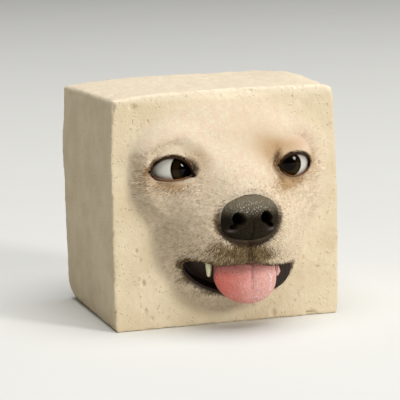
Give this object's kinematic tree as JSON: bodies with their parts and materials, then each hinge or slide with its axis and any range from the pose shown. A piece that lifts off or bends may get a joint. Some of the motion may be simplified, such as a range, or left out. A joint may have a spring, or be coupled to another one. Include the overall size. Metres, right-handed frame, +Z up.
{
  "type": "tofu block with a dog face",
  "caption": "Firm block of pressed tofu, slightly domed and pitted, whose front swells into a small dog's face with eyes, nose, open mouth and tongue.",
  "frame": {"origin": "centre of the block's flat base", "axes": "+Z up, the face looks along -Y, +X to the right of somebody who faces it"},
  "size_m": [0.084, 0.0853, 0.0832],
  "materials": {
    "tofu": "matte, fine pores",
    "eye_white": "wet gloss",
    "iris": "wet gloss",
    "lid_skin": "satin skin",
    "nose_leather": "moist pebbled skin",
    "mouth_skin": "moist dark skin",
    "tongue_flesh": "moist, fine bumps",
    "tooth": "enamel gloss"
  },
  "bodies": {
    "root": {"tofu_block": "tofu", "left_eyeball": "eye_white", "right_eyeball": "eye_white", "left_iris": "iris", "right_iris": "iris", "left_lid_rim": "lid_skin", "right_lid_rim": "lid_skin", "nose": "nose_leather", "mouth_lining": "mouth_skin", "tongue": "tongue_flesh", "canine_tooth": "tooth", "lip_fold": "tongue_flesh"}
  },
  "joints": []
}
